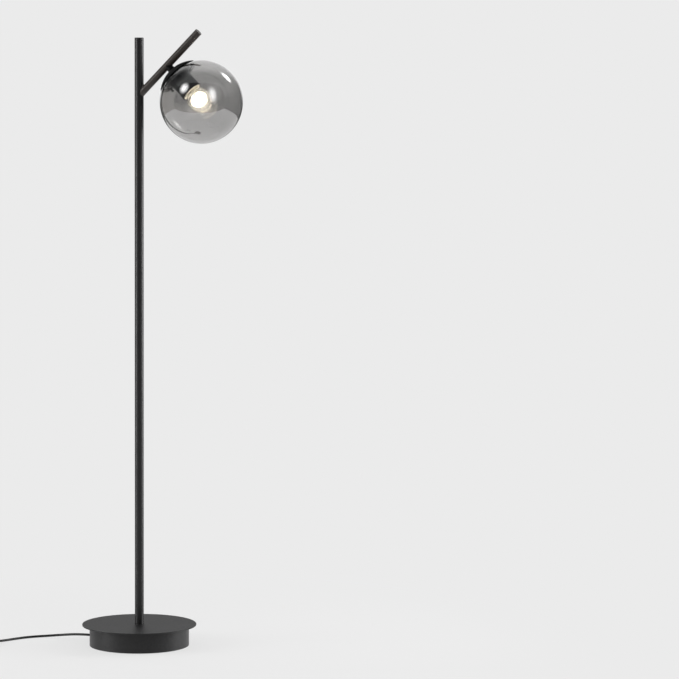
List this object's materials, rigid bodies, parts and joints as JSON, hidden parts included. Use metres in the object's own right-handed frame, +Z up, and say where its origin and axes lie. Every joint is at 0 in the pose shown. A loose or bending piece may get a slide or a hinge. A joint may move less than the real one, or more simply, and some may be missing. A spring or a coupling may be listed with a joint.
{
  "type": "floor lamp",
  "caption": "Floor lamp with a round weighted base, slim post, short slanted side arm and a smoked glass globe hung from a domed cap.",
  "frame": {"origin": "on the floor under the post's axis", "axes": "+Z up along the post, +X the way the arm leans; the mains lead leaves on the -X side"},
  "size_m": [0.7905, 0.3839, 1.5083],
  "materials": {
    "powder_coat": "fine-grained matt powder coat",
    "cast_weight": "as cast, rough",
    "zinc_steel": "zinc plated",
    "disc_paint": "satin grey",
    "clip_steel": "spring steel",
    "cover_gloss": "gloss",
    "holder_ivory": "moulded, half gloss",
    "insulator": "moulded",
    "brass": "bare",
    "globe_glass": "smoked, half mirrored",
    "bulb_glass": "clear",
    "bulb_metal": "pressed",
    "light_rods": "frosted, lit from within",
    "rubber_pad": "matt",
    "black_plastic": "matt",
    "switch_plastic": "half gloss",
    "cord_sheath": "half matt flexible sheath"
  },
  "bodies": {
    "lamp": {"base_top_plate": "powder_coat", "base_drum": "powder_coat", "post_lower_section": "powder_coat", "post_middle_section": "powder_coat", "post_upper_section": "powder_coat", "post_end_cap": "powder_coat", "arm_tube": "powder_coat", "arm_end_cap": "powder_coat", "arm_weld": "powder_coat", "arm_stem": "powder_coat", "globe_cap": "powder_coat", "base_bottom_cover": "powder_coat", "base_weight": "cast_weight", "base_spacers": "zinc_steel", "base_cover_screws": "zinc_steel", "base_threaded_tube": "zinc_steel", "base_washer": "zinc_steel", "base_lock_nut": "zinc_steel", "cord_clamp_screws": "zinc_steel", "post_foot_insert": "zinc_steel", "post_coupler_lower": "zinc_steel", "post_coupler_upper": "zinc_steel", "head_threaded_tube": "zinc_steel", "cap_washer": "zinc_steel", "cap_lock_nut": "zinc_steel", "disc_spacer": "zinc_steel", "clip_rivets": "zinc_steel", "switch_screws": "zinc_steel", "switch_spring": "zinc_steel", "cap_inner_disc": "disc_paint", "globe_clips": "clip_steel", "holder_cover": "cover_gloss", "lamp_holder": "holder_ivory", "contact_block": "insulator", "holder_screw_shell": "brass", "centre_contact": "brass", "plug_pins": "brass", "foot_pads": "rubber_pad", "cord_bush": "black_plastic", "cord_clamp_block": "black_plastic", "cord_clamp_bar": "black_plastic", "coil_tie": "black_plastic", "switch_contact_block": "black_plastic", "plug_body": "black_plastic", "switch_cord_guards": "black_plastic", "switch_base": "switch_plastic", "switch_cover": "switch_plastic", "inner_cable": "cord_sheath", "cord_to_switch": "cord_sheath", "cord_to_coil": "cord_sheath", "cord_coil": "cord_sheath", "cord_to_plug": "cord_sheath"},
    "globe": {"glass_globe": "globe_glass"},
    "bulb": {"bulb_glass": "bulb_glass", "bulb_screw_cap": "bulb_metal", "bulb_insulator": "insulator", "bulb_contact": "bulb_metal", "bulb_stem": "bulb_glass", "bulb_light_rods": "light_rods"},
    "foot_button": {"switch_button": "switch_plastic"}
  },
  "joints": [
    {"name": "globe_pull", "type": "slide", "parent": "lamp", "child": "globe", "axis": [0.7071, 0, -0.7071], "range_m": [0, 0.115]},
    {"name": "bulb_unscrew", "type": "slide", "parent": "lamp", "child": "bulb", "axis": [0.7071, 0, -0.7071], "range_m": [0, 0.034]},
    {"name": "switch_press", "type": "slide", "parent": "lamp", "child": "foot_button", "axis": [0, 0, -1], "range_m": [0, 0.0025], "stiffness_N_per_m": 1200, "springref_m": -0.002, "deforming": ["switch_spring"]}
  ]
}
